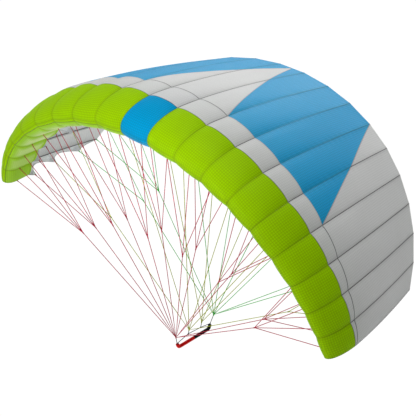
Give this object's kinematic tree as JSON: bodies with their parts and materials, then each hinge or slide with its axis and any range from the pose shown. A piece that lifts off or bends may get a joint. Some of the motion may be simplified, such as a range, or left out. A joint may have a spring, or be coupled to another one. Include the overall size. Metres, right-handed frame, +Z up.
{
  "type": "parawing",
  "caption": "Inflated cloth parawing in the air: arched canopy of swelling cells on arched ribs, fans of thin lines gathered on a short hand-held bar.",
  "frame": {"origin": "middle of the bar's grip, where the hand holds it", "axes": "+X along the span towards the right tip, +Y from the nose to the trailing edge, +Z up from the bar to the canopy"},
  "size_m": [3.0598, 1.4708, 1.9625],
  "materials": {
    "grey_cloth": "light grey ripstop cloth, faint grid, soft sheen",
    "blue_cloth": "blue ripstop cloth, faint grid, soft sheen",
    "green_cloth": "lime green ripstop cloth, faint grid, soft sheen",
    "rib_cloth": "pale grey stiffened ripstop cloth",
    "red_line": "thin braided line, dull red",
    "olive_line": "thin braided line, olive",
    "green_line": "thin braided line, green",
    "grey_cord": "braided cord, grey",
    "red_grip": "soft foam grip, matt red",
    "black_grip": "soft foam grip, matt black"
  },
  "bodies": {
    "root": {"gore_centre": "grey_cloth", "gore_left_1": "blue_cloth", "gore_left_2": "blue_cloth", "gore_left_3": "blue_cloth", "gore_left_4": "blue_cloth", "gore_left_5": "grey_cloth", "gore_left_6": "grey_cloth", "gore_left_7": "grey_cloth", "gore_left_8": "grey_cloth", "gore_left_9": "grey_cloth", "gore_right_1": "blue_cloth", "gore_right_2": "blue_cloth", "gore_right_3": "blue_cloth", "gore_right_4": "blue_cloth", "gore_right_5": "grey_cloth", "gore_right_6": "grey_cloth", "gore_right_7": "grey_cloth", "gore_right_8": "grey_cloth", "gore_right_9": "grey_cloth", "lower_skin_centre": "blue_cloth", "lower_skin_left_1": "green_cloth", "lower_skin_left_2": "green_cloth", "lower_skin_left_3": "green_cloth", "lower_skin_left_4": "green_cloth", "lower_skin_right_1": "green_cloth", "lower_skin_right_2": "green_cloth", "lower_skin_right_3": "green_cloth", "lower_skin_right_4": "green_cloth", "rib_left_1": "rib_cloth", "rib_left_2": "rib_cloth", "rib_left_3": "rib_cloth", "rib_left_4": "rib_cloth", "rib_left_5": "rib_cloth", "rib_left_6": "rib_cloth", "rib_left_7": "rib_cloth", "rib_left_8": "rib_cloth", "rib_left_9": "rib_cloth", "rib_left_10": "rib_cloth", "rib_right_1": "rib_cloth", "rib_right_2": "rib_cloth", "rib_right_3": "rib_cloth", "rib_right_4": "rib_cloth", "rib_right_5": "rib_cloth", "rib_right_6": "rib_cloth", "rib_right_7": "rib_cloth", "rib_right_8": "rib_cloth", "rib_right_9": "rib_cloth", "rib_right_10": "rib_cloth", "lines_front": "red_line", "lines_mid_front": "olive_line", "lines_mid_rear": "olive_line", "lines_rear": "green_line", "bar_front": "red_grip", "bar_rear": "black_grip", "bridle_cord": "grey_cord", "front_leg": "grey_cord", "rear_leg": "grey_cord"}
  },
  "joints": []
}
